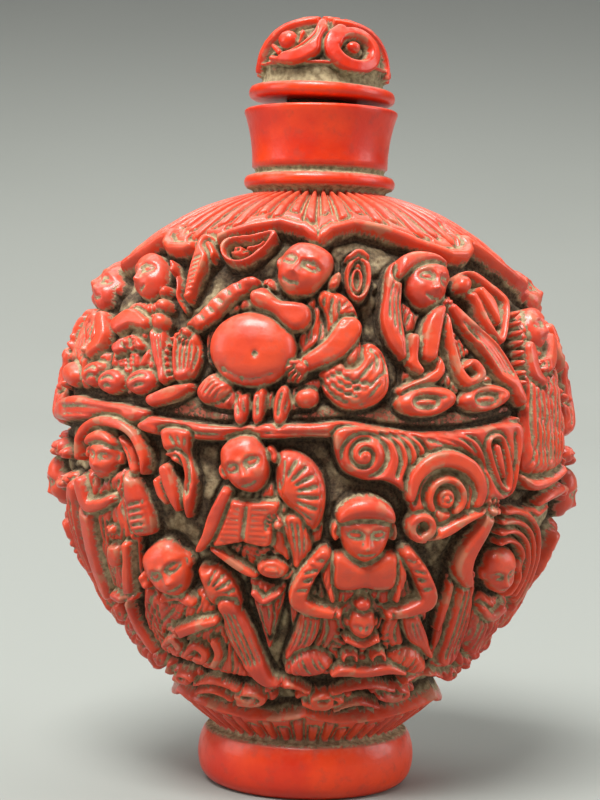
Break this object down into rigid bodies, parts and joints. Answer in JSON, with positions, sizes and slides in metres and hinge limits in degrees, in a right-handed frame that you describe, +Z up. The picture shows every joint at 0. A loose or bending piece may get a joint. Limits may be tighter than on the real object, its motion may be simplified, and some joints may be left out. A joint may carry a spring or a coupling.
{
  "type": "snuff bottle",
  "caption": "Flattened ovoid snuff bottle carved all over with figures, on an oval foot, hollow, with a waisted neck and a carved domed stopper on a cork.",
  "frame": {"origin": "centre of the underside of the foot, midway across the whole object", "axes": "+Z up through the neck, the carved front facing -Y, +X to the right seen from the front, the bottle thinnest along Y"},
  "size_m": [0.0514, 0.0348, 0.074],
  "materials": {
    "lacquer": "glossy orange-red, tan and dark brown dirt in the recesses",
    "cork": "darkened cork, dull"
  },
  "bodies": {
    "root": {"bottle": "lacquer", "stopper": "lacquer", "cork": "cork"}
  },
  "joints": []
}
